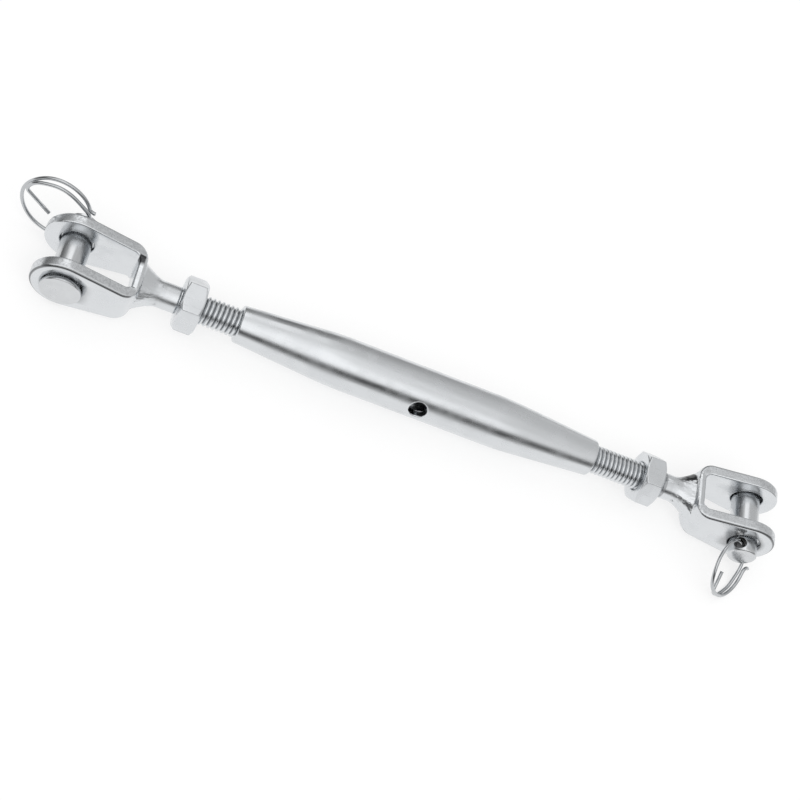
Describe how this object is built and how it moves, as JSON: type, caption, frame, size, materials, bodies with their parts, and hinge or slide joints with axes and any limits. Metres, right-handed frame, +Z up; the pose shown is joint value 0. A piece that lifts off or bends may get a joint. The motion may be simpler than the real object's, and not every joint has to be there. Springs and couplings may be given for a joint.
{
  "type": "rigging screw",
  "caption": "Closed-body rigging screw: a tapered tubular barrel turns two opposite-handed threaded forks, each with a lock nut, clevis pin and split ring.",
  "frame": {"origin": "middle of the barrel, on its axis, where the tommy bar hole crosses it", "axes": "+X along the screw from the left fork to the right fork, Y along both clevis pins, +Z up with the screw lying on the edges of its forks"},
  "size_m": [0.2251, 0.0394, 0.02],
  "materials": {
    "barrel_steel": "mirror polished stainless steel",
    "jaw_steel": "polished stainless steel casting",
    "nut_steel": "polished stainless steel",
    "pin_steel": "polished stainless steel",
    "ring_wire": "drawn stainless steel wire"
  },
  "bodies": {
    "left_jaw": {"left_jaw": "jaw_steel"},
    "left_lock_nut": {"left_lock_nut": "nut_steel"},
    "barrel": {"barrel": "barrel_steel"},
    "right_lock_nut": {"right_lock_nut": "nut_steel"},
    "right_jaw": {"right_jaw": "jaw_steel"},
    "left_clevis_pin": {"left_clevis_pin": "pin_steel"},
    "right_clevis_pin": {"right_clevis_pin": "pin_steel"},
    "left_split_ring": {"left_split_ring": "ring_wire"},
    "right_split_ring": {"right_split_ring": "ring_wire"}
  },
  "joints": [
    {"name": "barrel_turn", "type": "hinge", "parent": "left_jaw", "child": "left_lock_nut", "pos_m": [-0.0653, 0, 0], "axis": [-1, 0, 0], "range_deg": [-2520, 5760]},
    {"name": "left_stud_travel", "type": "slide", "parent": "left_lock_nut", "child": "barrel", "axis": [1, 0, 0], "range_m": [-0.00875, 0.02]},
    {"name": "right_stud_travel", "type": "slide", "parent": "barrel", "child": "right_lock_nut", "axis": [1, 0, 0], "range_m": [-0.00875, 0.02]},
    {"name": "right_jaw_hold", "type": "hinge", "parent": "right_lock_nut", "child": "right_jaw", "pos_m": [0.0693, 0, 0], "axis": [-1, 0, 0], "range_deg": [-5760, 2520]},
    {"name": "left_pin_turn", "type": "hinge", "parent": "left_jaw", "child": "left_clevis_pin", "pos_m": [-0.0975, 0, -0.00047], "axis": [0, 1, 0], "continuous": true},
    {"name": "right_pin_turn", "type": "hinge", "parent": "right_jaw", "child": "right_clevis_pin", "pos_m": [0.1015, 0, -0.00047], "axis": [0, 1, 0], "continuous": true},
    {"name": "left_ring_swing", "type": "hinge", "parent": "left_clevis_pin", "child": "left_split_ring", "pos_m": [-0.0975, 0.0103, -0.00047], "axis": [0.3322, 0, 0.9432], "range_deg": [-118, 4]},
    {"name": "right_ring_swing", "type": "hinge", "parent": "right_clevis_pin", "child": "right_split_ring", "pos_m": [0.1015, -0.0103, -0.00047], "axis": [-0.6334, 0, 0.7738], "range_deg": [-60, 92]}
  ],
  "couplings": [
    {"joint": "barrel_turn", "follows": "left_stud_travel", "rad_per_m": 5026.5},
    {"joint": "right_stud_travel", "follows": "left_stud_travel", "ratio": 1},
    {"joint": "right_jaw_hold", "follows": "left_stud_travel", "rad_per_m": -5026.5}
  ]
}
